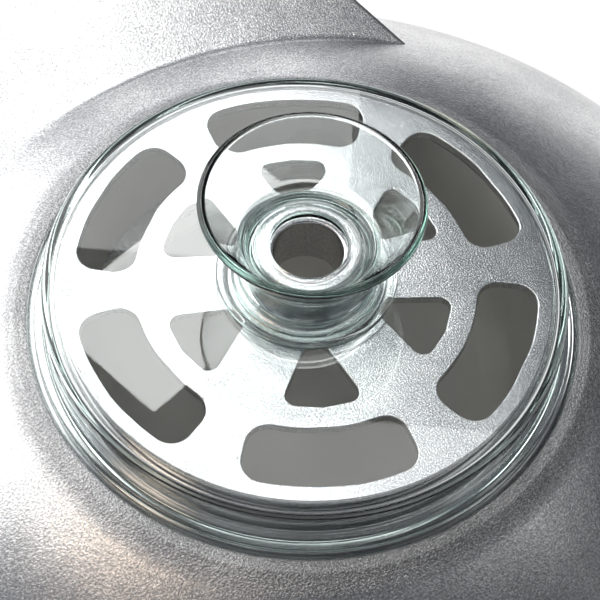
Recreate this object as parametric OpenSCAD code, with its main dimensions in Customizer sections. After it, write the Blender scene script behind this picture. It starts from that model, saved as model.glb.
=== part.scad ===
// Flower frog: a domed cast holder with a broad handle, a well for water, a pierced metal plate over
// the well, a pressed glass cover over the plate and a flared glass cup around the plate's stem hole.
// Millimetres. The origin is on the axis of the well, on the surface that the frog stands on.
// The handle points along +Y.

/* [Frog plate] */
// Radius of the pierced plate
plate_r = 60; // [56:1:60]
// Thickness of the plate
plate_t = 2.4; // [2:0.1:3]
// Height of the plate's top face above the table
plate_top = 54; // [52:1:58]
// Number of kidney slots, and of wedge slots inside them
slot_count = 6; // [4:1:6]
// Radius of the kidney slots' inner edge
kidney_in_r = 41.8; // [40:0.2:43]
// Radius of the kidney slots' outer edge
kidney_out_r = 56.2; // [53:0.2:56.2]
// Half of the angle between a kidney slot's two end arcs, in degrees
kidney_half_angle = 16.9; // [12:0.1:18]
// Corner radius of the kidney slots
kidney_corner_r = 5.2; // [4:0.2:6]
// Radius at which the wedge slots start
wedge_in_r = 19.8; // [19:0.2:22]
// Radius at which the wedge slots end
wedge_out_r = 36; // [33:0.2:37]
// Width of the wedge slots' narrow end
wedge_in_w = 6.6; // [6:0.2:8]
// Width of the wedge slots' wide end
wedge_out_w = 17; // [13:0.2:18]
// Corner radius of the wedge slots
wedge_corner_r = 2.6; // [1.5:0.1:2.8]

/* [Stem hub] */
// Radius of the stem hole through the hub
stem_hole_r = 8.3; // [6:0.1:9]
// Height of the hub above the plate
hub_h = 12; // [9:0.5:12]
// Outer radius of the hub at its top
hub_r = 13.4; // [12:0.1:13.4]
// Radius of the cove between the hub and the plate
hub_cove_r = 3; // [1:0.5:3]

/* [Glass cover] */
// Thickness of the pressed glass
glass_t = 2.3; // [1.8:0.1:2.6]
// Gap between the plate and the cover's underside
cover_gap = 0.5; // [0.3:0.1:1]
// Outer radius of the cover's skirt
skirt_r = 64; // [63.6:0.1:64]
// Outer radius of the foot around the skirt
skirt_foot_r = 66.8; // [65:0.1:66.8]
// Depth of the seat below the plate's top face
seat_drop = 12.5; // [11:0.5:16]
// Radius of the cover's middle hole
cover_hole_r = 17.6; // [17:0.1:18.5]

/* [Glass cup] */
// Outer radius of the cup's rim
cup_rim_r = 26.2; // [24:0.2:30]
// Height of the rim above the plate
cup_rim_h = 32; // [28:0.2:36]
// Outer radius of the cup's foot
cup_foot_r = 22; // [20:0.2:22]
// Outer radius of the cup's neck
cup_neck_r = 16.2; // [16:0.1:17]
// Radius of the hole in the cup's floor
cup_hole_r = 9.2; // [9:0.1:11]

/* [Cast body] */
// Radius of the body at the table
body_r = 137; // [132:1:150]
// Wall thickness of the casting
wall_t = 4.2; // [3.5:0.1:5]
// Inner radius of the well
well_r = 56.8; // [56.6:0.1:57]
// Width of the ring that the body stands on
rim_w = 10; // [8:0.5:12]
// Slope of the dome where it leaves the lip, in degrees
dome_top_slope = 14.6; // [10:0.2:18]

/* [Handle] */
// Reach of the handle's end from the axis
handle_reach = 185; // [170:1:200]
// Width of the handle where it meets the dome
handle_root_w = 162; // [140:1:166]
// Angle by which each side of the handle narrows, in degrees
handle_taper = 12.6; // [6:0.2:14]
// Angle by which the handle rises outwards, in degrees
handle_rise = 13.5; // [10:0.1:14]
// Thickness of the handle
handle_t = 7; // [5:0.5:8]
// Corner radius of the handle's end
handle_corner_r = 26; // [15:1:35]

/* [Foot pads] */
// Radius of the rim pads
pad_r = 4; // [3:0.2:4.2]
// Radius of the middle pad under the well
middle_pad_r = 16; // [12:1:20]
// Height of the pads below the casting
pad_h = 2; // [1.5:0.5:3]

/* [Hidden] */
$fn = 96;

// clearance used to make cuts run past a face
past = 1;

// frog plate
slot_pitch = 360 / slot_count;
plate_bottom = plate_top - plate_t;
tab_r = 2.2;
tab_h = 2.6;
tab_at_r = well_r - 0.35 - tab_r;
tab_count = 3;

// cast body
turret_r = plate_r - 0.4;
seat_z = plate_top - seat_drop;
seat_r = skirt_foot_r + 1;
lip_r = seat_r + 2.6;
lip_z = seat_z + 1.6;
dome_foot_z = pad_h + 3.6;
floor_z = pad_h + wall_t;
well_cove_r = 7;
shell_r = well_r + wall_t;
rib_t = 3.4;
rib_count = 6;
rib_clear = 2.5;
ring_rib_r = (shell_r + body_r - rim_w) / 2;
pad_at_r = body_r - rim_w / 2;
pad_recess = 1;
rim_pads = 4;
pad_turn = 42;

// the dome's section is an arc from the lip to the foot
dome_run = body_r - lip_r;
dome_fall = lip_z - dome_foot_z;
chord_slope = atan(dome_fall / dome_run);
dome_bend = 2 * (chord_slope - dome_top_slope);
dome_arc_r = norm([dome_run, dome_fall]) / (2 * sin(dome_bend / 2));
dome_centre = [lip_r - dome_arc_r * sin(dome_top_slope), lip_z - dome_arc_r * cos(dome_top_slope)];

// handle, in its own tilted plane: its top face is the plane's zero height
handle_axis_z = 13.6;
handle_root_y = 88;
handle_start_y = 48;

// glass cover
cover_bottom = plate_top + cover_gap;
cover_top = cover_bottom + glass_t;
skirt_in_r = skirt_r - glass_t;
cover_corner_r = 3;
skirt_foot_t = 2;

// glass cup
cup_rim_z = plate_top + cup_rim_h;
cup_floor_bottom = plate_top + hub_h + 0.3;
cup_floor_top = cup_floor_bottom + glass_t;
cup_neck_in_r = cup_neck_r - 2.2;
cup_foot_t = 1;
cup_foot_cove_r = min(4.6, cup_foot_r - cup_neck_r - 0.6);
cup_bowl_in_r = 15;
cup_rim_t = 2.1;

// a point on a circle of radius r around c, at angle a
function on_arc(c, r, a) = [c[0] + r * cos(a), c[1] + r * sin(a)];

// points along an arc around c, from angle a to angle b
function arc(c, r, a, b, steps = 8) = [for (i = [0 : steps]) on_arc(c, r, a + (b - a) * i / steps)];

// the dome's outer section, moved inwards by inset: the arc's circle, between two upright lines
module dome_section(inset, from_r, to_r) {
    intersection() {
        translate(dome_centre) circle(dome_arc_r - inset, $fn = 360);
        translate([from_r, 0]) square([to_r - from_r, plate_top]);
    }
}

module ring_of(count, start = 0) {
    for (i = [0 : count - 1]) {
        rotate(start + i * 360 / count) children();
    }
}

// a flat outline that runs around equal arcs centred on the given corners, listed anticlockwise
module rounded_outline(corners, r) {
    n = len(corners);
    function outward(a, b) = atan2(a[0] - b[0], b[1] - a[1]);
    polygon([
        for (i = [0 : n - 1])
            let (from = outward(corners[(i + n - 1) % n], corners[i]))
            let (to = outward(corners[i], corners[(i + 1) % n]))
            each arc(corners[i], r, from, to < from ? to + 360 : to, 6)
    ]);
}

// one kidney slot, centred on +X: two long arcs joined by a corner arc at each end of each
module kidney_slot() {
    c = kidney_corner_r;
    b = kidney_half_angle;
    function corner(r, side) = on_arc([0, 0], r, side * b);
    polygon(concat(
        arc([0, 0], kidney_out_r, -b, b, 12),
        arc(corner(kidney_out_r - c, 1), c, b, b + 90, 5),
        arc(corner(kidney_in_r + c, 1), c, b + 90, b + 180, 5),
        arc([0, 0], kidney_in_r, b, -b, 8),
        arc(corner(kidney_in_r + c, -1), c, 180 - b, 270 - b, 5),
        arc(corner(kidney_out_r - c, -1), c, 270 - b, 360 - b, 5)
    ));
}

// one wedge slot, centred on +X
module wedge_slot() {
    near = wedge_in_r + wedge_corner_r;
    far = wedge_out_r - wedge_corner_r;
    near_y = wedge_in_w / 2 - wedge_corner_r;
    far_y = wedge_out_w / 2 - wedge_corner_r;
    bulge = 0.8;
    rounded_outline([[near, -near_y], [far - bulge, -far_y], [far, 0], [far - bulge, far_y], [near, near_y]],
        wedge_corner_r);
}

module frog_plate() {
    hub_foot_r = hub_r + hub_cove_r + 0.4;
    hub_edge = 0.6;
    color([0.72, 0.73, 0.74]) difference() {
        union() {
            translate([0, 0, plate_bottom]) linear_extrude(plate_t) difference() {
                circle(plate_r);
                ring_of(slot_count) {
                    kidney_slot();
                    wedge_slot();
                }
            }
            // the raised hub, with its cove
            translate([0, 0, plate_top]) rotate_extrude() polygon(concat(
                [[0, -plate_t / 2], [hub_foot_r, -plate_t / 2]],
                arc([hub_foot_r, hub_cove_r], hub_cove_r, 270, 180),
                [[hub_r, hub_h - hub_edge], [hub_r - hub_edge, hub_h], [0, hub_h]]
            ));
            // tabs that keep the plate centred in the well
            ring_of(tab_count, slot_pitch / 2) {
                translate([tab_at_r, 0, plate_bottom - tab_h]) cylinder(r = tab_r, h = tab_h + plate_t / 2);
            }
        }
        translate([0, 0, plate_bottom - past]) cylinder(r = stem_hole_r, h = plate_t + hub_h + 2 * past);
    }
}

// the hollow under the casting, between the well and the dome
module underside_hollow() {
    inner_r = body_r - rim_w;
    rotate_extrude() {
        difference() {
            dome_section(wall_t, shell_r, inner_r);
            // the metal that carries the seat
            translate([0, seat_z - wall_t]) square([lip_r, plate_top]);
        }
        translate([shell_r, -past]) square([inner_r - shell_r, dome_foot_z]);
    }
}

// the turned shape of the casting, solid under the dome
module body_turning() {
    cove_r = well_r - well_cove_r;
    rotate_extrude() {
        difference() {
            polygon([
                [0, pad_h], [0, plate_bottom], [turret_r, plate_bottom], [turret_r, seat_z], [seat_r, seat_z],
                [seat_r + 0.4, lip_z - 0.5], [seat_r + 1.2, lip_z], [lip_r, lip_z], [lip_r, pad_h]
            ]);
            // the well, with a cove around its floor
            translate([0, floor_z]) square([cove_r, plate_top]);
            translate([0, floor_z + well_cove_r]) square([well_r, plate_top]);
            translate([cove_r, floor_z + well_cove_r]) circle(well_cove_r);
        }
        difference() {
            dome_section(0, lip_r, body_r);
            square([body_r, pad_h]);
        }
    }
}

// the handle's outline in its own plane: straight sides, round far corners, and a straight end inside the dome
module handle_outline() {
    function half_width(y) = handle_root_w / 2 - (y - handle_root_y) * tan(handle_taper);
    root = half_width(handle_start_y);
    end_y = handle_reach / cos(handle_rise) - handle_corner_r;
    end = half_width(end_y) - handle_corner_r / cos(handle_taper);
    polygon(concat(
        [[-root, handle_start_y], [root, handle_start_y]],
        arc([end, end_y], handle_corner_r, handle_taper, 90, 10),
        arc([-end, end_y], handle_corner_r, 90, 180 - handle_taper, 10)
    ));
}

module handle_slab() {
    translate([0, 0, handle_axis_z]) rotate([handle_rise, 0, 0])
        translate([0, 0, -handle_t]) linear_extrude(handle_t) handle_outline();
}

module underside_ribs() {
    intersection() {
        underside_hollow();
        translate([0, 0, pad_h + rib_clear]) union() {
            ring_of(rib_count, slot_pitch / 2) {
                translate([shell_r - past, -rib_t / 2, 0]) cube([body_r - shell_r, rib_t, plate_top]);
            }
            difference() {
                cylinder(r = ring_rib_r + rib_t / 2, h = plate_top);
                translate([0, 0, -past]) cylinder(r = ring_rib_r - rib_t / 2, h = plate_top + 2 * past);
            }
        }
    }
}

module cast_body() {
    color([0.62, 0.62, 0.63]) difference() {
        union() {
            difference() {
                union() {
                    body_turning();
                    handle_slab();
                }
                underside_hollow();
            }
            underside_ribs();
        }
        ring_of(rim_pads, pad_turn) {
            translate([pad_at_r, 0, pad_h - past]) cylinder(r = pad_r, h = pad_recess + past);
        }
    }
}

module glass_cover() {
    foot_z = seat_z;
    color([0.75, 0.87, 0.82, 0.45]) rotate_extrude() polygon(concat(
        [[cover_hole_r, cover_bottom], [skirt_in_r - 1, cover_bottom], [skirt_in_r, cover_bottom - 1]],
        [[skirt_in_r, foot_z], [skirt_foot_r, foot_z], [skirt_foot_r, foot_z + skirt_foot_t - 0.6]],
        [[skirt_foot_r - 0.6, foot_z + skirt_foot_t], [skirt_r + 0.4, foot_z + skirt_foot_t + 0.4]],
        arc([skirt_r - cover_corner_r, cover_top - cover_corner_r], cover_corner_r, 0, 90),
        [[cover_hole_r, cover_top]]
    ));
}

module glass_cup() {
    foot_z = cover_top;
    bowl_z = cup_floor_bottom + 0.2;
    color([0.75, 0.87, 0.82, 0.45]) rotate_extrude() polygon(concat(
        [[cup_neck_in_r, foot_z], [cup_foot_r - 0.3, foot_z], [cup_foot_r, foot_z + 0.3]],
        [[cup_foot_r, foot_z + cup_foot_t - 0.3], [cup_foot_r - 0.3, foot_z + cup_foot_t]],
        arc([cup_neck_r + cup_foot_cove_r, foot_z + cup_foot_t + cup_foot_cove_r], cup_foot_cove_r, 270, 180),
        [[cup_neck_r, bowl_z]],
        arc([cup_rim_r - cup_rim_t / 2, cup_rim_z - cup_rim_t / 2], cup_rim_t / 2, 0, 180, 10),
        [[cup_bowl_in_r, cup_floor_top + 1], [cup_bowl_in_r - 1, cup_floor_top], [cup_hole_r, cup_floor_top]],
        [[cup_hole_r, cup_floor_bottom], [cup_neck_in_r, cup_floor_bottom]]
    ));
}

module foot_pads() {
    color([0.12, 0.12, 0.13]) {
        ring_of(rim_pads, pad_turn) {
            translate([pad_at_r, 0, 0]) cylinder(r = pad_r, h = pad_h + pad_recess);
        }
        cylinder(r = middle_pad_r, h = pad_h);
    }
}

cast_body();
frog_plate();
glass_cover();
glass_cup();
foot_pads();
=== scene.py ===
"""The looks of the flower frog.

A cast holder with a broad handle, a pierced plate, a pressed glass cover and a flared glass cup.
"""

import math

import bmesh
import bpy
from mathutils import Matrix, Vector


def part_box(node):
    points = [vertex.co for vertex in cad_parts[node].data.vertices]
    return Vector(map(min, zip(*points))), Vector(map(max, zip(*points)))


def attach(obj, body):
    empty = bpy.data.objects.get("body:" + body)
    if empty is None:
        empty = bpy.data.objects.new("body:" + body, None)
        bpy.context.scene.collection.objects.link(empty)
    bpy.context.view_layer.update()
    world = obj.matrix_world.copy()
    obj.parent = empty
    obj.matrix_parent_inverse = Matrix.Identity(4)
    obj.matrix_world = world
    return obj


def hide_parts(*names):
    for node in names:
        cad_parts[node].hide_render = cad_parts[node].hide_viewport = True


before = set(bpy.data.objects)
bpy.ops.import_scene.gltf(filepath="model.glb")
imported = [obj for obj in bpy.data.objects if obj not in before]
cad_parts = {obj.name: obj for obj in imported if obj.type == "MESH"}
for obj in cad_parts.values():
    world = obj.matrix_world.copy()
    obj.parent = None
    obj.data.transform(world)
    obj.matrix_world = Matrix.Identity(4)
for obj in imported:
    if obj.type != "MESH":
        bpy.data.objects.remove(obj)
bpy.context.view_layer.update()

# ---------------------------------------------------------------------------------------------
# Sizes, in millimetres in the frame's axes. The outermost ones come from the frame's own boxes.
# ---------------------------------------------------------------------------------------------
MM = 0.001


def top_of(node):
    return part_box(node)[1] / MM


def bottom_of(node):
    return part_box(node)[0] / MM


PLATE_R = top_of("frog_plate").x
HUB_TOP = top_of("frog_plate").z
TAB_BOTTOM = bottom_of("frog_plate").z
HUB_H = 12
PLATE_TOP = HUB_TOP - HUB_H
PLATE_T = 2.4
PLATE_BOTTOM = PLATE_TOP - PLATE_T
PLATE_EDGE = 0.4
SLOT_COUNT = 6
KIDNEY_IN_R, KIDNEY_OUT_R, KIDNEY_HALF_ANGLE, KIDNEY_CORNER_R = 41.8, 56.2, 16.9, 5.2
WEDGE_IN_R, WEDGE_OUT_R, WEDGE_IN_W, WEDGE_OUT_W, WEDGE_CORNER_R = 19.8, 36, 6.6, 17, 2.6
KIDNEY_WANDER, WEDGE_WANDER = 0.28, 0.2
STEM_HOLE_R, HUB_R, HUB_COVE_R = 8.3, 13.4, 3
TAB_R, TAB_COUNT, TAB_AT_R = 2.2, 3, 54.25

GLASS_T = 2.3
SEAT_Z = bottom_of("glass_cover").z
COVER_TOP = top_of("glass_cover").z
COVER_BOTTOM = COVER_TOP - GLASS_T
SKIRT_FOOT_R = top_of("glass_cover").x
SKIRT_R = 64
SKIRT_IN_R = SKIRT_R - GLASS_T
SKIRT_FOOT_T = 2
COVER_HOLE_R = 17.6

CUP_RIM_R = top_of("glass_cup").x
CUP_RIM_Z = top_of("glass_cup").z
CUP_RIM_T = 2.1
CUP_FOOT_R, CUP_FOOT_T, CUP_FOOT_COVE_R = 22, 1, 4.6
CUP_NECK_R, CUP_NECK_IN_R = 16.2, 14
CUP_HOLE_R, CUP_BOWL_IN_R = 9.2, 15
CUP_BOWL_CORNER_R, CUP_BOWL_FILLET_R = 6.5, 5
CUP_FLOOR_BOTTOM = HUB_TOP + 0.3
CUP_FLOOR_TOP = CUP_FLOOR_BOTTOM + GLASS_T

BODY_R = top_of("cast_body").x
UNDERSIDE_Z = bottom_of("cast_body").z
WALL_T = 4.2
WELL_R, WELL_COVE_R = 56.8, 7
FLOOR_Z = UNDERSIDE_Z + WALL_T
SHELL_R = WELL_R + WALL_T
TURRET_R = PLATE_R - 0.4
SEAT_R = SKIRT_FOOT_R + 1
LIP_R, LIP_Z = SEAT_R + 2.6, SEAT_Z + 1.6
SEAT_UNDER_Z = SEAT_Z - WALL_T
# the band beside the lip, where the cast skin is coarser and a painted shade darkens the colour: its width
# and its soft edge
SKIN_AND_SHADE_W, SKIN_AND_SHADE_FADE = 5, 2
RIM_W = 10
DOME_FOOT_Z = UNDERSIDE_Z + 3.6
DOME_TOP_SLOPE = math.radians(14.6)

HANDLE_RISE = math.radians(13.5)
HANDLE_TAPER = math.radians(12.6)
HANDLE_AXIS_Z, HANDLE_T, HANDLE_CORNER_R = 13.6, 7, 26
HANDLE_ROOT_HALF, HANDLE_ROOT_Y, HANDLE_START_Y = 81, 88, 48
HANDLE_REACH = 185
HANDLE_EDGE = 2.2
CREASE_R = 7

PAD_R, MIDDLE_PAD_R, PAD_RECESS, PAD_COUNT, PAD_TURN = 4, 16, 1, 4, 42
RIB_T, RIB_COUNT, RIB_CLEAR = 3.4, 6, 2.5
RING_RIB_R = (SHELL_R + BODY_R - RIM_W) / 2

# the loose glass stands this much clear of what it rests on, so that no two faces share a plane
REST_GAP = 0.06

# steps in a full turn of the large turned shapes
AROUND = 256
QUARTER = math.pi / 2


# ---------------------------------------------------------------------------------------------
# Outlines and profiles
# ---------------------------------------------------------------------------------------------
def arc(centre, radius, start, end, steps):
    """Points along an arc, with its angles in radians."""
    angles = (start + (end - start) * i / steps for i in range(steps + 1))
    return [(centre[0] + radius * math.cos(a), centre[1] + radius * math.sin(a)) for a in angles]


def rounded(points, closed=True, steps=6):
    """The polyline through (x, y, corner radius) points with its corners as arcs.

    A point is added on the straight just outside each arc, so that smooth shading stays in the corner.
    """
    outline = []
    count = len(points)
    for i, (x, y, radius) in enumerate(points):
        here = Vector((x, y))
        if radius == 0 or (not closed and i in (0, count - 1)):
            outline.append((x, y))
            continue
        back = Vector(points[i - 1][:2]) - here
        ahead = Vector(points[(i + 1) % count][:2]) - here
        half = back.angle(ahead) / 2
        reach = radius / math.tan(half)
        hold = min(0.25 * radius, 0.3)
        back_dir, ahead_dir = back.normalized(), ahead.normalized()
        centre = here + (back_dir + ahead_dir).normalized() * radius / math.sin(half)
        start = here + back_dir * reach - centre
        sweep = start.angle_signed(here + ahead_dir * reach - centre)
        first = math.atan2(start.y, start.x)
        if back.length > 2 * (reach + hold):
            outline.append(tuple(here + back_dir * (reach + hold)))
        outline += arc(centre, radius, first, first - sweep, steps)
        if ahead.length > 2 * (reach + hold):
            outline.append(tuple(here + ahead_dir * (reach + hold)))
    return outline


def around_corners(corners, radius, steps=6):
    """The outline that runs around equal circles at the corners, which are listed anticlockwise."""
    outline = []
    count = len(corners)
    for i, corner in enumerate(corners):
        before, after = corners[i - 1], corners[(i + 1) % count]
        start = math.atan2(before[0] - corner[0], corner[1] - before[1])
        end = math.atan2(corner[0] - after[0], after[1] - corner[1])
        outline += arc(corner, radius, start, end if end >= start else end + math.tau, steps)
    return outline


def turned(outline, angle):
    c, s = math.cos(angle), math.sin(angle)
    return [(c * x - s * y, s * x + c * y) for x, y in outline]


def hand_finished(outline, seed, amount):
    """The outline with the slow wander of a filed casting, as a sum of three waves around its middle."""
    cx = sum(p[0] for p in outline) / len(outline)
    cy = sum(p[1] for p in outline) / len(outline)
    moved = []
    for x, y in outline:
        a = math.atan2(y - cy, x - cx)
        wander = sum(math.sin(k * a + seed * (k + 1.7)) / k for k in (2, 3, 5))
        scale = 1 + amount * wander / math.hypot(x - cx, y - cy)
        moved.append((cx + (x - cx) * scale, cy + (y - cy) * scale))
    return moved


# ---------------------------------------------------------------------------------------------
# Mesh helpers
# ---------------------------------------------------------------------------------------------
def new_object(name, mesh):
    piece = bpy.data.objects.new(name, mesh)
    bpy.context.scene.collection.objects.link(piece)
    return piece


def lathe_into(bm, profile, closed=True, around=AROUND, at=(0, 0)):
    """Turns an (r, z) profile in millimetres about an upright axis. A point at r = 0 becomes a pole.

    A profile that runs clockwise, with r to the right, is reversed, so that every face looks outwards.
    """
    corners = zip(profile, profile[1:] + profile[:1])
    if sum(a[0] * b[1] - b[0] * a[1] for a, b in corners) < 0:
        profile = profile[::-1]
    rings = []
    for r, z in profile:
        if r < 1e-6:
            rings.append([bm.verts.new((at[0] * MM, at[1] * MM, z * MM))])
            continue
        angles = (math.tau * i / around for i in range(around))
        rings.append([
            bm.verts.new(((at[0] + r * math.cos(a)) * MM, (at[1] + r * math.sin(a)) * MM, z * MM))
            for a in angles
        ])
    pairs = list(zip(rings, rings[1:]))
    if closed:
        pairs.append((rings[-1], rings[0]))
    for low, high in pairs:
        for i in range(around):
            j = (i + 1) % around
            if len(low) == 1:
                bm.faces.new((low[0], high[j], high[i]))
            elif len(high) == 1:
                bm.faces.new((low[i], low[j], high[0]))
            else:
                bm.faces.new((low[i], low[j], high[j], high[i]))


def finished_mesh(name, bm):
    mesh = bpy.data.meshes.new(name)
    bm.to_mesh(mesh)
    bm.free()
    mesh.polygons.foreach_set("use_smooth", [True] * len(mesh.polygons))
    return mesh


def slab_into(bm, outlines, z_low, z_high, edge, place=Matrix.Identity(4)):
    """A flat plate between two heights, with rounded edges.

    The first outline is its rim, and the rest are holes.
    """
    curve = bpy.data.curves.new("slab_outline", "CURVE")
    curve.dimensions = "2D"
    curve.fill_mode = "BOTH"
    curve.extrude = ((z_high - z_low) / 2 - edge) * MM
    curve.bevel_depth = edge * MM
    curve.bevel_resolution = 3
    curve.offset = -edge * MM
    for index, outline in enumerate(outlines):
        points = outline if index == 0 else outline[::-1]
        spline = curve.splines.new("POLY")
        spline.points.add(len(points) - 1)
        for point, (x, y) in zip(spline.points, points):
            point.co = (x * MM, y * MM, 0, 1)
        spline.use_cyclic_u = True
    holder = new_object("slab_outline", curve)
    mesh = bpy.data.meshes.new_from_object(holder)
    mesh.transform(place @ Matrix.Translation((0, 0, (z_low + z_high) / 2 * MM)))
    bm.from_mesh(mesh)
    bpy.data.objects.remove(holder)
    bpy.data.curves.remove(curve)
    bpy.data.meshes.remove(mesh)
    bmesh.ops.remove_doubles(bm, verts=bm.verts, dist=0.002 * MM)


def flat_shading_by_area(piece):
    """Large flat faces keep their own normal, and the rounded edges blend into them."""
    piece.modifiers.new("weighted_normals", "WEIGHTED_NORMAL").weight = 80


# ---------------------------------------------------------------------------------------------
# The cast body
# ---------------------------------------------------------------------------------------------
def dome_section():
    """Centre (r, z) and radius of the dome's arc, which runs from the lip to the foot."""
    run, fall = BODY_R - LIP_R, LIP_Z - DOME_FOOT_Z
    bend = 2 * (math.atan2(fall, run) - DOME_TOP_SLOPE)
    radius = math.hypot(run, fall) / (2 * math.sin(bend / 2))
    return LIP_R - radius * math.sin(DOME_TOP_SLOPE), LIP_Z - radius * math.cos(DOME_TOP_SLOPE), radius


DOME_R0, DOME_Z0, DOME_ARC_R = dome_section()


def dome_height(r, inset=0):
    return DOME_Z0 + math.sqrt((DOME_ARC_R - inset) ** 2 - (r - DOME_R0) ** 2)


def dome_normal(x, y):
    r = math.hypot(x, y)
    lean = (r - DOME_R0) / DOME_ARC_R
    return Vector((lean * x / r, lean * y / r, math.sqrt(1 - lean * lean)))


def dome_points(r_from, r_to, inset=0, steps=28):
    radii = (r_from + (r_to - r_from) * i / steps for i in range(steps + 1))
    return [(r, dome_height(r, inset)) for r in radii]


def body_turning(bm):
    """The turned shape of the casting: well, turret, seat, lip, dome, rim and the hollow underneath."""
    inner_r = BODY_R - RIM_W
    inside_foot = dome_height(inner_r, WALL_T)
    well = rounded([
        (0, FLOOR_Z, 0), (WELL_R, FLOOR_Z, WELL_COVE_R), (WELL_R, PLATE_BOTTOM, 0.7),
        (TURRET_R, PLATE_BOTTOM, 0.7), (TURRET_R, SEAT_Z, 0.9), (SEAT_R, SEAT_Z, 0.8),
        (SEAT_R + 0.5, LIP_Z, 1.0), (LIP_R + 1.2, LIP_Z - 0.1, 2.4),
        (LIP_R + 6, dome_height(LIP_R + 6), 0),
    ], closed=False)
    dome = dome_points(LIP_R + 7.5, BODY_R - 4)
    rim = rounded([
        (BODY_R - 3, dome_height(BODY_R - 3), 0), (BODY_R, dome_height(BODY_R), 2.4),
        (BODY_R, UNDERSIDE_Z, 1.2), (inner_r, UNDERSIDE_Z, 1.2), (inner_r, inside_foot, 0),
    ], closed=False)
    inside = [(r, z) for r, z in reversed(dome_points(LIP_R + 1, inner_r - 1, WALL_T, 12))]
    shell = rounded([
        (LIP_R, dome_height(LIP_R, WALL_T) - 0.2, 0), (LIP_R, SEAT_UNDER_Z, 0.6), (SHELL_R, SEAT_UNDER_Z, 2),
        (SHELL_R, UNDERSIDE_Z, 1.2), (0, UNDERSIDE_Z, 0),
    ], closed=False)
    lathe_into(bm, well + dome + rim + inside + shell, closed=False)


def handle_plane(y):
    return HANDLE_AXIS_Z + y * math.tan(HANDLE_RISE)


def handle_place():
    return Matrix.Translation((0, 0, HANDLE_AXIS_Z * MM)) @ Matrix.Rotation(HANDLE_RISE, 4, "X")


def handle_half_width(y_plane):
    return HANDLE_ROOT_HALF - (y_plane - HANDLE_ROOT_Y) * math.tan(HANDLE_TAPER)


def handle_slab(bm):
    end_y = HANDLE_REACH / math.cos(HANDLE_RISE) - HANDLE_CORNER_R
    end_x = handle_half_width(end_y) - HANDLE_CORNER_R / math.cos(HANDLE_TAPER)
    start_x = handle_half_width(HANDLE_START_Y)
    outline = [(-start_x, HANDLE_START_Y), (start_x, HANDLE_START_Y)]
    outline += arc((end_x, end_y), HANDLE_CORNER_R, HANDLE_TAPER, QUARTER, 16)
    outline += arc((-end_x, end_y), HANDLE_CORNER_R, QUARTER, math.pi - HANDLE_TAPER, 16)
    slab_into(bm, [outline], -HANDLE_T, 0, HANDLE_EDGE, handle_place())


def crease_y(x):
    """The y at which the handle's top plane meets the dome, at this x, by halving an interval."""
    near, far = 20.0, 120.0
    for _ in range(40):
        middle = (near + far) / 2
        if dome_height(math.hypot(x, middle)) > handle_plane(middle):
            near = middle
        else:
            far = middle
    return near


def crease_fillet(bm):
    """The concave cast fillet where the handle's top leaves the dome. It runs out towards the edges."""
    plane_normal = Vector((0, -math.sin(HANDLE_RISE), math.cos(HANDLE_RISE)))
    reach = HANDLE_ROOT_HALF
    for _ in range(20):
        reach = handle_half_width(crease_y(reach) / math.cos(HANDLE_RISE)) - HANDLE_EDGE
    along, across = 96, 8
    rows = []
    for i in range(along + 1):
        x = reach * (2 * i / along - 1)
        y = crease_y(x)
        normal = dome_normal(x, y)
        corner = Vector((x, y, handle_plane(y)))
        middle = (plane_normal + normal).normalized()
        radius = CREASE_R * (1 - 0.9 * (abs(x) / reach) ** 6)
        centre = corner + middle * radius / math.cos(plane_normal.angle(normal) / 2)
        row = []
        for j in range(across + 1):
            facing = plane_normal.slerp(normal, j / across)
            row.append(bm.verts.new((centre - facing * radius) * MM))
        rows.append(row)
    for low, high in zip(rows, rows[1:]):
        for j in range(across):
            bm.faces.new((low[j], low[j + 1], high[j + 1], high[j]))


def underside_ribs(bm):
    """Radial ribs and a ring rib that stiffen the dome from below."""
    low = UNDERSIDE_Z + RIB_CLEAR
    half = RIB_T / 2
    inner, outer = RING_RIB_R - half, RING_RIB_R + half
    ring = rounded([
        (inner, low, 0.8), (outer, low, 0.8), (outer, dome_height(outer, WALL_T) + 1, 0),
        (inner, dome_height(inner, WALL_T) + 1, 0),
    ])
    lathe_into(bm, ring)
    inner_r, outer_r, steps = SHELL_R - 1, BODY_R - RIM_W + 1, 16
    radii = [inner_r + (outer_r - inner_r) * i / steps for i in range(steps + 1)]
    for k in range(RIB_COUNT):
        turn = Matrix.Rotation(math.pi / RIB_COUNT + math.tau * k / RIB_COUNT, 4, "Z")
        rows = []
        for r in radii:
            high = (dome_height(r, WALL_T) if r > LIP_R else SEAT_UNDER_Z) + 1
            section = [(-half, high), (-half, low + 0.7), (-half + 0.7, low), (half - 0.7, low),
                       (half, low + 0.7), (half, high)]
            rows.append([bm.verts.new(turn @ Vector((r, y, z)) * MM) for y, z in section])
        for a, b in zip(rows, rows[1:]):
            for j in range(len(a)):
                bm.faces.new((a[j], a[j - 1], b[j - 1], b[j]))
        bm.faces.new(rows[0])
        bm.faces.new(rows[-1][::-1])


def make_cast_body():
    """The whole casting. Its well and its turned faces take the second and the third material."""
    bm = bmesh.new()
    body_turning(bm)
    underside_ribs(bm)
    handle_slab(bm)
    crease_fillet(bm)
    for face in bm.faces:
        middle = face.calc_center_median() / MM
        r = math.hypot(middle.x, middle.y)
        if r < WELL_R + 0.1 and FLOOR_Z - 0.01 < middle.z < PLATE_BOTTOM - 0.8:
            face.material_index = 1
        elif WELL_R + 0.1 < r < SEAT_R + 0.6 and middle.z > SEAT_Z - 0.1:
            face.material_index = 2
    piece = new_object("cast_holder", finished_mesh("cast_holder", bm))
    flat_shading_by_area(piece)
    return piece


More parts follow.
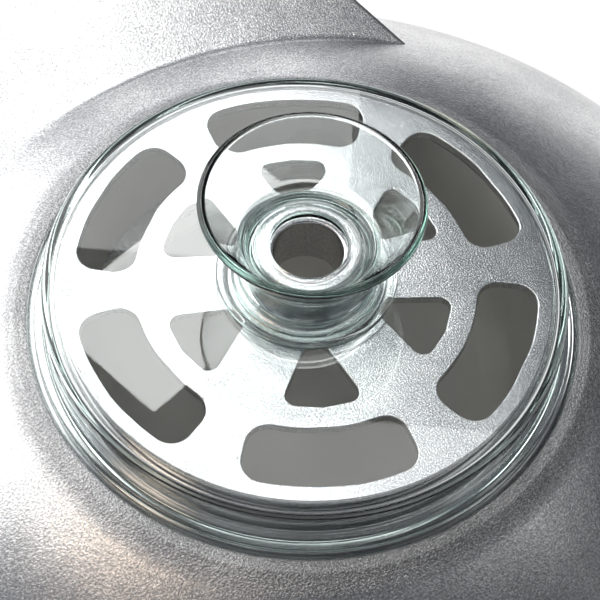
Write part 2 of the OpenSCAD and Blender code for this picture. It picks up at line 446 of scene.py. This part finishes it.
# ---------------------------------------------------------------------------------------------
# The pierced plate
# ---------------------------------------------------------------------------------------------
def kidney_outline():
    c, b = KIDNEY_CORNER_R, math.radians(KIDNEY_HALF_ANGLE)

    def corner(r, side):
        return r * math.cos(b), side * r * math.sin(b)

    outer, inner = KIDNEY_OUT_R - c, KIDNEY_IN_R + c
    return (
        arc((0, 0), KIDNEY_OUT_R, -b, b, 20)
        + arc(corner(outer, 1), c, b, b + QUARTER, 8)[1:]
        + arc(corner(inner, 1), c, b + QUARTER, b + 2 * QUARTER, 8)
        + arc((0, 0), KIDNEY_IN_R, b, -b, 16)[1:]
        + arc(corner(inner, -1), c, 2 * QUARTER - b, 3 * QUARTER - b, 8)[1:]
        + arc(corner(outer, -1), c, 3 * QUARTER - b, 4 * QUARTER - b, 8)[:-1]
    )


def wedge_outline():
    near, far = WEDGE_IN_R + WEDGE_CORNER_R, WEDGE_OUT_R - WEDGE_CORNER_R
    near_y, far_y = WEDGE_IN_W / 2 - WEDGE_CORNER_R, WEDGE_OUT_W / 2 - WEDGE_CORNER_R
    bulge = 0.8
    corners = [(near, -near_y), (far - bulge, -far_y), (far, 0), (far - bulge, far_y), (near, near_y)]
    return around_corners(corners, WEDGE_CORNER_R)


def make_plate():
    """The plate as a pierced slab, with its hub turned around the slab's middle hole, and its tabs."""
    bm = bmesh.new()
    hole_r = STEM_HOLE_R + 1.4
    outlines = [arc((0, 0), PLATE_R, 0, math.tau, AROUND)[:-1], arc((0, 0), hole_r, 0, math.tau, 96)[:-1]]
    for k in range(SLOT_COUNT):
        turn = math.tau * k / SLOT_COUNT
        outlines.append(turned(hand_finished(kidney_outline(), 1.3 * k, KIDNEY_WANDER), turn))
        outlines.append(turned(hand_finished(wedge_outline(), 2.1 * k + 0.5, WEDGE_WANDER), turn))
    slab_into(bm, outlines, PLATE_BOTTOM, PLATE_TOP, PLATE_EDGE)
    cove_foot = HUB_R + HUB_COVE_R + 1.6
    lathe_into(bm, rounded([
        (cove_foot, PLATE_TOP - 0.03, 0), (HUB_R + 0.3, PLATE_TOP, HUB_COVE_R), (HUB_R, HUB_TOP, 0.9),
        (STEM_HOLE_R, HUB_TOP, 0.7), (STEM_HOLE_R, PLATE_BOTTOM, 0.4), (hole_r, PLATE_BOTTOM, 0),
        (hole_r, PLATE_BOTTOM + 0.4, 0), (cove_foot, PLATE_BOTTOM + 0.4, 0),
    ]), around=128)
    for k in range(TAB_COUNT):
        turn = math.pi / SLOT_COUNT + math.tau * k / TAB_COUNT
        at = (TAB_AT_R * math.cos(turn), TAB_AT_R * math.sin(turn))
        tab = rounded([
            (0, TAB_BOTTOM, 0), (TAB_R, TAB_BOTTOM, 0.5), (TAB_R, PLATE_BOTTOM + 0.5, 0),
        ], closed=False)
        lathe_into(bm, tab, closed=False, around=32, at=at)
    piece = new_object("pierced_plate", finished_mesh("pierced_plate", bm))
    flat_shading_by_area(piece)
    return piece


# ---------------------------------------------------------------------------------------------
# The glass and the pads
# ---------------------------------------------------------------------------------------------
def make_cover():
    bm = bmesh.new()
    foot_z = SEAT_Z + REST_GAP
    foot_top = SEAT_Z + SKIRT_FOOT_T
    lathe_into(bm, rounded([
        (COVER_HOLE_R, COVER_BOTTOM, 0.8), (SKIRT_IN_R, COVER_BOTTOM, 1.6), (SKIRT_IN_R, foot_z, 0.5),
        (SKIRT_FOOT_R, foot_z, 0.6), (SKIRT_FOOT_R, foot_top, 0.9), (SKIRT_R + 0.2, foot_top + 0.3, 0.8),
        (SKIRT_R, COVER_TOP, 3), (COVER_HOLE_R, COVER_TOP, 0.8),
    ], steps=8))
    return new_object("pressed_glass_cover", finished_mesh("pressed_glass_cover", bm))


def make_cup():
    bm = bmesh.new()
    foot_z = COVER_TOP + REST_GAP
    bowl_z = CUP_FLOOR_BOTTOM + 0.2
    lip = CUP_RIM_T / 2
    outside = rounded([
        (CUP_NECK_IN_R, foot_z + 0.5, 0), (CUP_NECK_IN_R, foot_z, 0.3), (CUP_FOOT_R, foot_z, 0.3),
        (CUP_FOOT_R, foot_z + CUP_FOOT_T, 0.45), (CUP_NECK_R, foot_z + CUP_FOOT_T, CUP_FOOT_COVE_R),
        (CUP_NECK_R, bowl_z, CUP_BOWL_FILLET_R), (CUP_RIM_R - 0.2, CUP_RIM_Z - lip - 0.6, 0),
    ], closed=False, steps=8)
    rim = arc((CUP_RIM_R - lip, CUP_RIM_Z - lip), lip, 0, math.radians(160), 10)
    inside = rounded([
        (CUP_RIM_R - CUP_RIM_T - 0.2, CUP_RIM_Z - lip - 0.4, 0),
        (CUP_BOWL_IN_R, CUP_FLOOR_TOP, CUP_BOWL_CORNER_R), (CUP_HOLE_R, CUP_FLOOR_TOP, 0.8),
        (CUP_HOLE_R, CUP_FLOOR_BOTTOM, 0.6), (CUP_NECK_IN_R, CUP_FLOOR_BOTTOM, 0.8),
        (CUP_NECK_IN_R, CUP_FLOOR_BOTTOM - 1, 0),
    ], closed=False, steps=8)
    lathe_into(bm, outside + rim + inside, around=192)
    return new_object("flared_glass_cup", finished_mesh("flared_glass_cup", bm))


def make_pads():
    bm = bmesh.new()
    top = UNDERSIDE_Z + PAD_RECESS
    small = rounded([(0, 0, 0), (PAD_R, 0, 0.7), (PAD_R, top, 0), (0, top, 0)], closed=False)
    for k in range(PAD_COUNT):
        turn = math.radians(PAD_TURN) + math.tau * k / PAD_COUNT
        reach = BODY_R - RIM_W / 2
        lathe_into(bm, small, closed=False, around=48, at=(reach * math.cos(turn), reach * math.sin(turn)))
    middle = rounded([(0, 0, 0), (MIDDLE_PAD_R, 0, 0.7), (MIDDLE_PAD_R, UNDERSIDE_Z, 0), (0, UNDERSIDE_Z, 0)],
                     closed=False)
    lathe_into(bm, middle, closed=False, around=96)
    return new_object("rubber_pads", finished_mesh("rubber_pads", bm))


# ---------------------------------------------------------------------------------------------
# Materials
# ---------------------------------------------------------------------------------------------
class Nodes:
    """A small helper that adds shader nodes and joins them."""

    def __init__(self, name):
        self.material = bpy.data.materials.new(name)
        self.material.use_nodes = True
        self.tree = self.material.node_tree
        self.shader = self.tree.nodes["Principled BSDF"]
        self.output = self.tree.nodes["Material Output"]
        self.place = self.tree.nodes.new("ShaderNodeTexCoord").outputs["Object"]

    def add(self, kind, values=(), **settings):
        node = self.tree.nodes.new(kind)
        for key, value in settings.items():
            setattr(node, key, value)
        for socket, value in values:
            if isinstance(value, bpy.types.NodeSocket):
                self.tree.links.new(value, node.inputs[socket])
            else:
                node.inputs[socket].default_value = value
        return node

    def noise(self, size_mm, detail=2.0, roughness=0.5, place=None):
        """A noise whose lumps are about size_mm across."""
        node = self.add("ShaderNodeTexNoise", [
            ("Vector", place or self.place), ("Scale", 1 / (size_mm * MM)),
            ("Detail", detail), ("Roughness", roughness),
        ])
        return node.outputs["Fac"]

    def ramp(self, source, stops):
        node = self.add("ShaderNodeValToRGB", [("Fac", source)])
        ramp = node.color_ramp
        while len(ramp.elements) < len(stops):
            ramp.elements.new(0.5)
        for element, (position, colour) in zip(ramp.elements, stops):
            element.position = position
            element.color = (*colour, 1)
        return node.outputs["Color"]

    def spread(self, source, low, high, start=0.0, end=1.0):
        """The source's range start to end, as values from low to high."""
        node = self.add("ShaderNodeMapRange", [
            ("Value", source), ("From Min", start), ("From Max", end), ("To Min", low), ("To Max", high),
        ])
        return node.outputs["Result"]

    def axis_distance(self):
        """How far the point is from the upright axis through the well, in metres."""
        flat = self.add("ShaderNodeVectorMath", [(0, self.place), (1, (1, 1, 0))], operation="MULTIPLY")
        length = self.add("ShaderNodeVectorMath", [(0, flat.outputs["Vector"])], operation="LENGTH")
        return length.outputs["Value"]

    def scaled(self, colour, factor):
        node = self.add("ShaderNodeVectorMath", [(0, colour), ("Scale", factor)], operation="SCALE")
        return node.outputs["Vector"]

    def bump(self, height, depth_mm, below=None):
        values = [("Height", height), ("Distance", depth_mm * MM), ("Strength", 1.0)]
        if below is not None:
            values.append(("Normal", below))
        return self.add("ShaderNodeBump", values).outputs["Normal"]

    def math(self, operation, a, b):
        return self.add("ShaderNodeMath", [(0, a), (1, b)], operation=operation).outputs[0]

    def feed(self, socket, value):
        if isinstance(value, bpy.types.NodeSocket):
            self.tree.links.new(value, self.shader.inputs[socket])
        else:
            self.shader.inputs[socket].default_value = value


def cast_aluminium(name, dark, light, grain_mm, grain_depth, smooth, rough, skin_gain=1.0, painted_shade_tone=1.0):
    """Cast aluminium, tumbled bright: a fine crackled grain, slow hollows, pits, and polished high spots.

    Beside the lip, where no wheel reaches, the cast skin is coarser by skin_gain. There a painted shade, set
    by the last argument, darkens its colour.
    """
    nodes = Nodes(name)
    slow = nodes.noise(26, 3)
    hollows = nodes.noise(7, 2, 0.5)
    grain = nodes.noise(grain_mm, 3, 0.6)
    fine = nodes.noise(grain_mm * 0.4, 2, 0.6)
    pits = nodes.noise(2.3, 2, 0.7)

    # the band beside the lip: coarser grain in the relief, and a painted shade in the colour
    skin_and_shade_in, skin_and_shade_out = (LIP_R + SKIN_AND_SHADE_W - SKIN_AND_SHADE_FADE) * MM, (LIP_R + SKIN_AND_SHADE_W + SKIN_AND_SHADE_FADE) * MM
    radius = nodes.axis_distance()
    gain = nodes.spread(radius, skin_gain, 1, skin_and_shade_in, skin_and_shade_out)
    # painted shade: the colour darkens in the band beside the lip
    painted_shade = nodes.spread(radius, painted_shade_tone, 1, skin_and_shade_in, skin_and_shade_out)

    tone = nodes.math("ADD", nodes.math("MULTIPLY", slow, 0.3), nodes.math("MULTIPLY", grain, 0.7))
    # the base colour, darkened beside the lip by the painted shade
    nodes.feed("Base Color", nodes.scaled(nodes.ramp(tone, [(0.38, dark), (0.63, light)]), painted_shade))
    nodes.feed("Metallic", 1.0)
    worn = nodes.math("ADD", nodes.math("MULTIPLY", grain, 0.6), nodes.math("MULTIPLY", slow, 0.4))
    nodes.feed("Roughness", nodes.spread(worn, rough, smooth, 0.32, 0.68))
    relief = nodes.bump(hollows, grain_depth * 0.5)
    relief = nodes.bump(nodes.math("MULTIPLY", grain, gain), grain_depth, relief)
    relief = nodes.bump(fine, grain_depth * 0.3, relief)
    relief = nodes.bump(nodes.spread(pits, 0, 1, 0.2, 0.27), grain_depth * 0.8, relief)
    nodes.feed("Normal", relief)
    return nodes.material


def matt_well():
    """The blasted inside of the well: an even warm grey, with a faint powdery grain."""
    nodes = Nodes("blasted_well")
    warm_dark, warm_light = (0.74, 0.72, 0.68), (0.81, 0.79, 0.75)
    nodes.feed("Base Color", nodes.ramp(nodes.noise(18, 3), [(0.3, warm_dark), (0.7, warm_light)]))
    nodes.feed("Metallic", 0.2)
    nodes.feed("Roughness", nodes.spread(nodes.noise(0.7, 2), 0.7, 0.85))
    nodes.feed("Normal", nodes.bump(nodes.noise(0.6, 2), 0.015))
    return nodes.material


def turned_aluminium():
    """The machined wall and seat around the plate: fine rings left by the tool, bright in between."""
    nodes = Nodes("turned_aluminium")
    height = nodes.add("ShaderNodeSeparateXYZ", [("Vector", nodes.place)]).outputs["Z"]
    section = nodes.add("ShaderNodeCombineXYZ", [("X", nodes.axis_distance()), ("Y", height)])
    rings = nodes.noise(0.35, 3, 0.6, section.outputs["Vector"])
    wide = nodes.noise(1.6, 2, 0.5, section.outputs["Vector"])
    nodes.feed("Base Color", nodes.ramp(wide, [(0.35, (0.5, 0.505, 0.51)), (0.65, (0.8, 0.8, 0.8))]))
    nodes.feed("Metallic", 1.0)
    nodes.feed("Roughness", nodes.spread(rings, 0.08, 0.16, 0.3, 0.7))
    nodes.feed("Normal", nodes.bump(rings, 0.007, nodes.bump(nodes.noise(1.1, 2), 0.004)))
    return nodes.material


def green_glass(name, wave_mm, wave_depth, density):
    """Clear soda glass with a green depth colour and the slight waves of pressed or blown glass."""
    nodes = Nodes(name)
    nodes.feed("Base Color", (1, 1, 1, 1))
    nodes.feed("Transmission Weight", 1.0)
    nodes.feed("IOR", 1.51)
    waves = nodes.noise(wave_mm, 1.5, 0.4)
    smears = nodes.noise(7, 4, 0.6)
    nodes.feed("Roughness", nodes.spread(smears, 0.0, 0.035, 0.5, 0.85))
    nodes.feed("Normal", nodes.bump(waves, wave_depth))
    depth = nodes.add("ShaderNodeVolumeAbsorption", [("Color", (0.45, 0.9, 0.76, 1)), ("Density", density)])
    nodes.tree.links.new(depth.outputs["Volume"], nodes.output.inputs["Volume"])
    return nodes.material


def black_rubber():
    """Moulded rubber with a fine matt speckle."""
    nodes = Nodes("moulded_rubber")
    speck = nodes.noise(0.5, 3)
    black, grey = (0.012, 0.012, 0.013), (0.03, 0.03, 0.031)
    nodes.feed("Base Color", nodes.ramp(nodes.noise(4, 3), [(0.3, black), (0.7, grey)]))
    nodes.feed("Roughness", nodes.spread(speck, 0.6, 0.85))
    nodes.feed("Normal", nodes.bump(speck, 0.05))
    return nodes.material


def pale_floor():
    """A matt floor that glows a little, so that it stays pale between the lights."""
    nodes = Nodes("pale_floor")
    tone = nodes.noise(60, 4)
    nodes.feed("Base Color", nodes.ramp(tone, [(0.3, (0.87, 0.87, 0.87)), (0.7, (0.9, 0.9, 0.9))]))
    nodes.feed("Roughness", 0.7)
    nodes.feed("Emission Color", (1, 1, 1, 1))
    nodes.feed("Emission Strength", 0.38)
    nodes.feed("Normal", nodes.bump(nodes.noise(1.5, 3), 0.03))
    return nodes.material


# ---------------------------------------------------------------------------------------------
# Studio
# ---------------------------------------------------------------------------------------------
AIM = Vector((-4.9, -4.1, PLATE_TOP)) * MM
VIEW_TURN = math.radians(40)
VIEW_ELEVATION = math.radians(56.61)
VIEW_ROLL = math.radians(4.43)
VIEW_DISTANCE = 358.9 * MM
LENS = 89.47
OVERHEAD_Z = 0.96
FLOOR_HALF = 4


def make_camera():
    forward = Vector((
        math.cos(VIEW_ELEVATION) * math.sin(VIEW_TURN),
        math.cos(VIEW_ELEVATION) * math.cos(VIEW_TURN),
        -math.sin(VIEW_ELEVATION),
    ))
    level = Vector((math.cos(VIEW_TURN), -math.sin(VIEW_TURN), 0))
    upright = level.cross(forward)
    right = level * math.cos(VIEW_ROLL) + upright * math.sin(VIEW_ROLL)
    up = upright * math.cos(VIEW_ROLL) - level * math.sin(VIEW_ROLL)
    camera = bpy.data.objects.new("camera", bpy.data.cameras.new("camera"))
    camera.data.lens = LENS
    camera.data.clip_start = 0.01
    facing = Matrix((right, up, -forward)).transposed().to_4x4()
    camera.matrix_world = Matrix.Translation(AIM - forward * VIEW_DISTANCE) @ facing
    bpy.context.scene.collection.objects.link(camera)
    bpy.context.scene.camera = camera


def area_light(name, size, radiance, matrix, colour=(1, 1, 1)):
    """A softbox of this size in metres. Where it is mirrored, a radiance of 1 just reaches white."""
    light = bpy.data.lights.new(name, "AREA")
    light.shape = "RECTANGLE"
    light.size, light.size_y = size
    light.energy = radiance * math.pi * size[0] * size[1]
    light.color = colour
    lamp = bpy.data.objects.new(name, light)
    lamp.matrix_world = matrix
    lamp.visible_camera = False
    bpy.context.scene.collection.objects.link(lamp)


def aimed(from_zenith, turn, distance):
    """Where a light hangs: its angle from overhead and its bearing from +X, in degrees, and its distance."""
    zenith, bearing = math.radians(from_zenith), math.radians(turn)
    level = math.sin(zenith)
    direction = Vector((level * math.cos(bearing), level * math.sin(bearing), math.cos(zenith)))
    facing = direction.to_track_quat("Z", "Y").to_matrix().to_4x4()
    return Matrix.Translation(AIM + direction * distance) @ facing


def overhead_light(name, across, away, radiance):
    """A level softbox overhead. It spans two distances to the viewer's right, and two straight away."""
    size = (across[1] - across[0], away[1] - away[0])
    place = Matrix.Translation((sum(across) / 2, sum(away) / 2, OVERHEAD_Z))
    area_light(name, size, radiance, Matrix.Rotation(-VIEW_TURN, 4, "Z") @ place)


def make_lights():
    # the bearing that points straight away from the viewer
    away = 90 - math.degrees(VIEW_TURN)
    # the key softbox hangs level overhead: its square corner shows in the glass cover
    key_height, key_w, key_l = 0.7, 0.116, 0.2
    key_turn = math.radians(11)
    corner = Vector((0.124, 0.302, key_height))
    along = Vector((math.cos(key_turn), math.sin(key_turn), 0))
    across = Vector((-along.y, along.x, 0))
    middle = corner + along * key_l / 2 + across * key_w / 2
    area_light("key_box", (key_l, key_w), 6.0, Matrix.Translation(middle) @ Matrix.Rotation(key_turn, 4, "Z"))
    area_light("left_box", (1.1, 1.4), 2.5, aimed(62, away + 62, 1.2))
    area_light("back_box", (0.9, 0.5), 1.1, aimed(80, away + 15, 1.6))
    area_light("right_box", (0.3, 0.34), 0.6, aimed(33, away - 84, 1.0))
    area_light("warm_box", (0.26, 0.26), 2.6, aimed(24.5, away + 104, 1.0), (1, 0.8, 0.64))
    overhead_light("near_box", (-0.14, 0.2), (0.08, 0.29), 2.6)
    overhead_light("top_box", (-0.07, 0.2), (0.3, 0.46), 1.7)
    overhead_light("sky_box", (-0.34, 0.045), (0.63, 0.86), 2.3)
    make_room()


def make_room():
    """A dim room around the lights, with soft lighter and darker patches for the metal to mirror."""
    world = bpy.data.worlds.new("studio")
    world.use_nodes = True
    tree = world.node_tree
    place = tree.nodes.new("ShaderNodeTexCoord")
    patches = tree.nodes.new("ShaderNodeTexNoise")
    patches.inputs["Scale"].default_value = 3.2
    patches.inputs["Detail"].default_value = 2
    tone = tree.nodes.new("ShaderNodeValToRGB")
    dark, light = tone.color_ramp.elements
    dark.position, light.position = 0.4, 0.62
    dark.color, light.color = (0.1, 0.107, 0.12, 1), (0.32, 0.325, 0.335, 1)
    # the wall that the handle points at is the brightest
    side = tree.nodes.new("ShaderNodeVectorMath")
    side.operation = "DOT_PRODUCT"
    side.inputs[1].default_value = (-0.35, 0.94, 0)
    lift = tree.nodes.new("ShaderNodeMapRange")
    lift.inputs["From Min"].default_value, lift.inputs["From Max"].default_value = -0.3, 0.95
    lift.inputs["To Min"].default_value, lift.inputs["To Max"].default_value = 0.6, 1.9
    tree.links.new(place.outputs["Generated"], side.inputs[0])
    tree.links.new(side.outputs["Value"], lift.inputs["Value"])
    tree.links.new(lift.outputs["Result"], tree.nodes["Background"].inputs["Strength"])
    tree.links.new(place.outputs["Generated"], patches.inputs["Vector"])
    tree.links.new(patches.outputs["Fac"], tone.inputs["Fac"])
    tree.links.new(tone.outputs["Color"], tree.nodes["Background"].inputs["Color"])
    bpy.context.scene.world = world


def make_floor():
    bm = bmesh.new()
    bmesh.ops.create_grid(bm, x_segments=8, y_segments=8, size=FLOOR_HALF)
    floor = new_object("floor", finished_mesh("floor", bm))
    floor.data.materials.append(pale_floor())


# ---------------------------------------------------------------------------------------------
# Putting it together
# ---------------------------------------------------------------------------------------------
def fit(piece, body, node, material):
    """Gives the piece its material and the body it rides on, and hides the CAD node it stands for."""
    piece.data.materials.append(material)
    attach(piece, body)
    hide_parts(node)


make_camera()
make_lights()
make_floor()
bpy.context.scene.view_settings.view_transform = "Standard"

holder = make_cast_body()
# the cast holder: beside the lip its skin is coarser, and a painted shade darkens its colour
fit(holder, "holder", "cast_body", cast_aluminium(
    "cast_aluminium", dark=(0.44, 0.445, 0.455), light=(0.93, 0.93, 0.93),
    grain_mm=0.5, grain_depth=0.075, smooth=0.16, rough=0.26, skin_gain=3.4, painted_shade_tone=0.6))
holder.data.materials.append(matt_well())
holder.data.materials.append(turned_aluminium())
fit(make_plate(), "plate", "frog_plate", cast_aluminium(
    "tumbled_aluminium", dark=(0.52, 0.525, 0.545), light=(0.95, 0.95, 0.95),
    grain_mm=0.45, grain_depth=0.055, smooth=0.07, rough=0.15))
fit(make_cover(), "cover", "glass_cover",
    green_glass("pressed_glass", wave_mm=14, wave_depth=0.004, density=18))
fit(make_cup(), "cup", "glass_cup",
    green_glass("blown_glass", wave_mm=9, wave_depth=0.008, density=30))
fit(make_pads(), "holder", "foot_pads", black_rubber())
